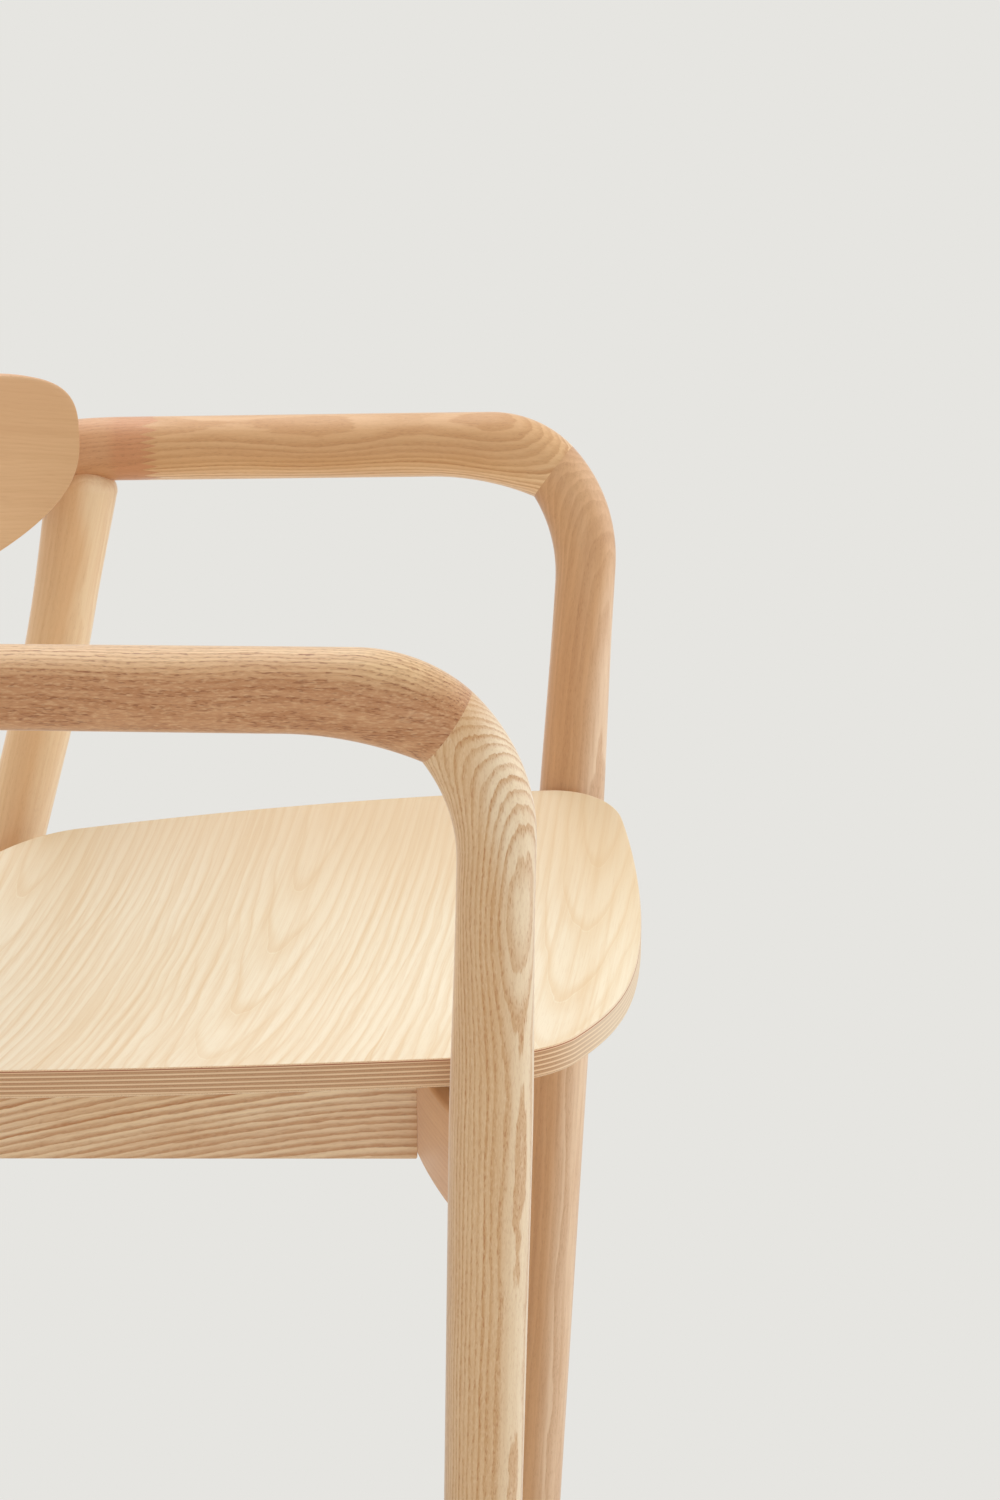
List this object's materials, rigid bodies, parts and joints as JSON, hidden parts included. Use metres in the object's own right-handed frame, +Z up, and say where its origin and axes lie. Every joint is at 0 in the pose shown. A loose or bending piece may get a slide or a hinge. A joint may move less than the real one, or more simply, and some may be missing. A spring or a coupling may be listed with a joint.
{
  "type": "armchair",
  "caption": "Wooden armchair with a round-section frame, mitred arm corners, a back rail that bends round the sitter, and a moulded plywood seat and back panel.",
  "frame": {"origin": "on the floor, under the middle of the box round the chair", "axes": "+Z up, the front faces -Y, +X is the sitter's left"},
  "size_m": [0.5234, 0.5132, 0.7123],
  "materials": {
    "solid_ash": "clear matt oil on solid ash",
    "rail_ash": "clear matt oil on redder solid ash",
    "face_veneer": "clear matt lacquer on ash face veneer",
    "ply_core": "clear matt lacquer on cross-laid plies",
    "dowel_wood": "plain beech",
    "screw_steel": "zinc-plated",
    "glide_nylon": "plain nylon"
  },
  "bodies": {
    "root": {"left_arm": "solid_ash", "right_arm": "solid_ash", "left_front_leg": "solid_ash", "right_front_leg": "solid_ash", "back_rail": "rail_ash", "left_rear_leg": "solid_ash", "right_rear_leg": "solid_ash", "front_cross_rail": "rail_ash", "rear_cross_rail": "rail_ash", "left_side_rail": "solid_ash", "right_side_rail": "solid_ash", "seat_top_veneer": "face_veneer", "seat_core": "ply_core", "seat_bottom_veneer": "face_veneer", "panel_front_veneer": "face_veneer", "panel_core": "ply_core", "panel_rear_veneer": "face_veneer", "mitre_dowels": "dowel_wood", "shoulder_dowels": "dowel_wood", "front_rail_dowels": "dowel_wood", "rear_rail_dowels": "dowel_wood", "side_rail_dowels": "dowel_wood", "seat_screws": "screw_steel", "panel_screws": "screw_steel", "panel_plugs": "solid_ash", "foot_glides": "glide_nylon"}
  },
  "joints": []
}
